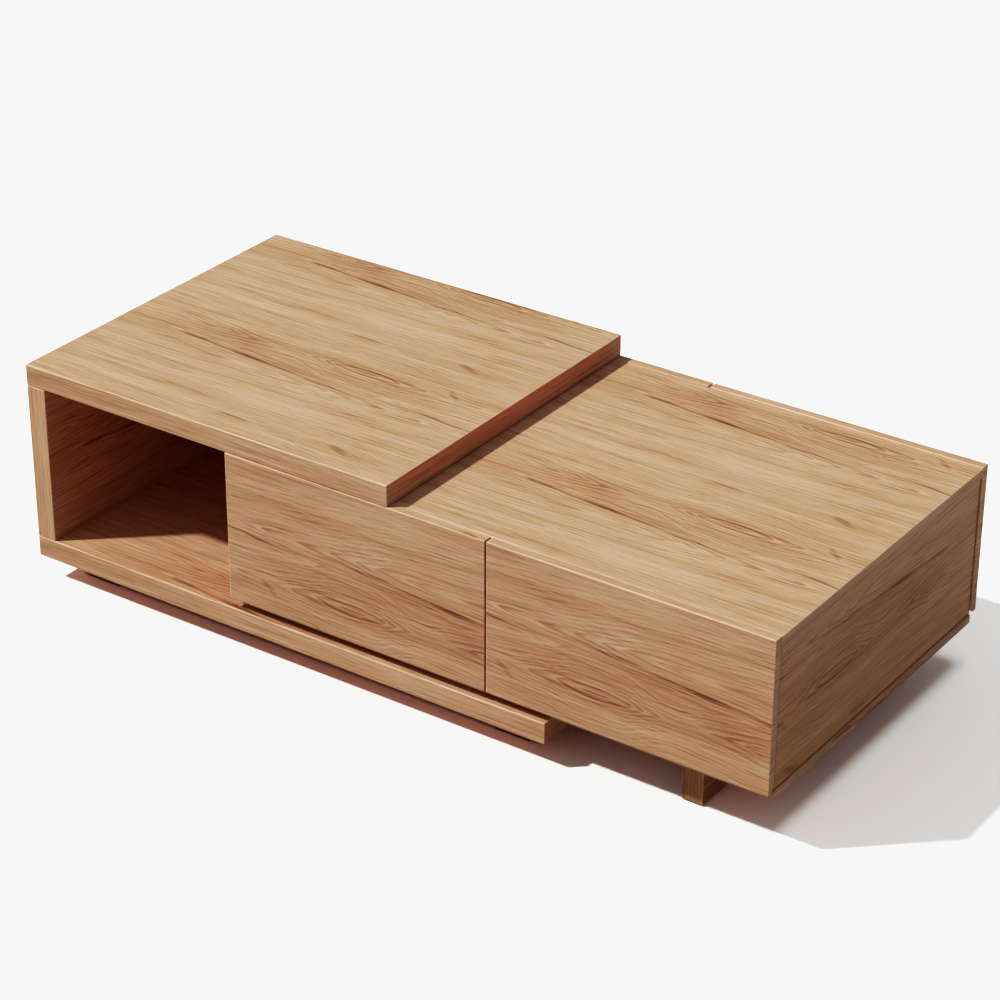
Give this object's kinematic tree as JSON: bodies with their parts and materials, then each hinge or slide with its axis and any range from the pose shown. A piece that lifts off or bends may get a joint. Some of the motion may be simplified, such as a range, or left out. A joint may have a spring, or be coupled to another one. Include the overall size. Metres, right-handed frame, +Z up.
{
  "type": "coffee table",
  "caption": "Low extending wooden table: a thick-board shell with an open niche, and a box of drawers that slides out of it on glides.",
  "frame": {"origin": "on the floor under the middle of the closed table", "axes": "+X along the table, the way the drawer box slides out; +Y to the rear; +Z up"},
  "size_m": [1.293, 0.6, 0.365],
  "materials": {
    "oak": "oak veneer, satin",
    "drawer_oak": "plain oak inside, satin",
    "birch": "raw",
    "steel": "zinc plated",
    "felt": "pressed felt",
    "nylon": "matte"
  },
  "bodies": {
    "shell": {"shell_top": "oak", "shell_side": "oak", "shell_bottom": "oak", "niche_wall": "oak", "niche_back": "oak", "plinth_front": "oak", "plinth_rear": "oak", "plinth_left": "oak", "plinth_right": "oak", "plinth_cross": "oak", "plinth_felt": "felt", "plinth_screws": "steel", "shell_dowels": "birch", "shell_glides": "nylon"},
    "drawer_box": {"box_top": "oak", "box_bottom": "oak", "box_left_end": "oak", "box_right_end": "oak", "box_partition": "oak", "box_divider_left": "drawer_oak", "box_divider_right": "drawer_oak", "box_dowels": "birch", "foot_board": "oak", "foot_felt": "felt", "foot_screws": "steel", "guide_pins": "nylon", "box_glides": "nylon", "runner_screws": "steel", "front_left_runner_outer": "steel", "front_right_runner_outer": "steel", "rear_left_runner_outer": "steel", "rear_right_runner_outer": "steel"},
    "front_left_drawer": {"front_left_front": "oak", "front_left_side_left": "drawer_oak", "front_left_side_right": "drawer_oak", "front_left_back": "drawer_oak", "front_left_bottom": "drawer_oak", "front_left_runner_inner": "steel"},
    "front_left_runners": {"front_left_runner_middle": "steel"},
    "front_right_drawer": {"front_right_front": "oak", "front_right_side_left": "drawer_oak", "front_right_side_right": "drawer_oak", "front_right_back": "drawer_oak", "front_right_bottom": "drawer_oak", "front_right_runner_inner": "steel"},
    "front_right_runners": {"front_right_runner_middle": "steel"},
    "rear_left_drawer": {"rear_left_front": "oak", "rear_left_side_left": "drawer_oak", "rear_left_side_right": "drawer_oak", "rear_left_back": "drawer_oak", "rear_left_bottom": "drawer_oak", "rear_left_runner_inner": "steel"},
    "rear_left_runners": {"rear_left_runner_middle": "steel"},
    "rear_right_drawer": {"rear_right_front": "oak", "rear_right_side_left": "drawer_oak", "rear_right_side_right": "drawer_oak", "rear_right_back": "drawer_oak", "rear_right_bottom": "drawer_oak", "rear_right_runner_inner": "steel"},
    "rear_right_runners": {"rear_right_runner_middle": "steel"}
  },
  "joints": [
    {"name": "box_slide", "type": "slide", "parent": "shell", "child": "drawer_box", "axis": [1, 0, 0], "range_m": [0, 0.45]},
    {"name": "front_left_drawer_slide", "type": "slide", "parent": "drawer_box", "child": "front_left_drawer", "axis": [0, -1, 0], "range_m": [0, 0.25]},
    {"name": "front_left_runner_slide", "type": "slide", "parent": "drawer_box", "child": "front_left_runners", "axis": [0, -1, 0], "range_m": [0, 0.125]},
    {"name": "front_right_drawer_slide", "type": "slide", "parent": "drawer_box", "child": "front_right_drawer", "axis": [0, -1, 0], "range_m": [0, 0.25]},
    {"name": "front_right_runner_slide", "type": "slide", "parent": "drawer_box", "child": "front_right_runners", "axis": [0, -1, 0], "range_m": [0, 0.125]},
    {"name": "rear_left_drawer_slide", "type": "slide", "parent": "drawer_box", "child": "rear_left_drawer", "axis": [0, 1, 0], "range_m": [0, 0.25]},
    {"name": "rear_left_runner_slide", "type": "slide", "parent": "drawer_box", "child": "rear_left_runners", "axis": [0, 1, 0], "range_m": [0, 0.125]},
    {"name": "rear_right_drawer_slide", "type": "slide", "parent": "drawer_box", "child": "rear_right_drawer", "axis": [0, 1, 0], "range_m": [0, 0.25]},
    {"name": "rear_right_runner_slide", "type": "slide", "parent": "drawer_box", "child": "rear_right_runners", "axis": [0, 1, 0], "range_m": [0, 0.125]}
  ],
  "couplings": [
    {"joint": "front_left_runner_slide", "follows": "front_left_drawer_slide", "ratio": 0.5},
    {"joint": "front_right_runner_slide", "follows": "front_right_drawer_slide", "ratio": 0.5},
    {"joint": "rear_left_runner_slide", "follows": "rear_left_drawer_slide", "ratio": 0.5},
    {"joint": "rear_right_runner_slide", "follows": "rear_right_drawer_slide", "ratio": 0.5}
  ]
}
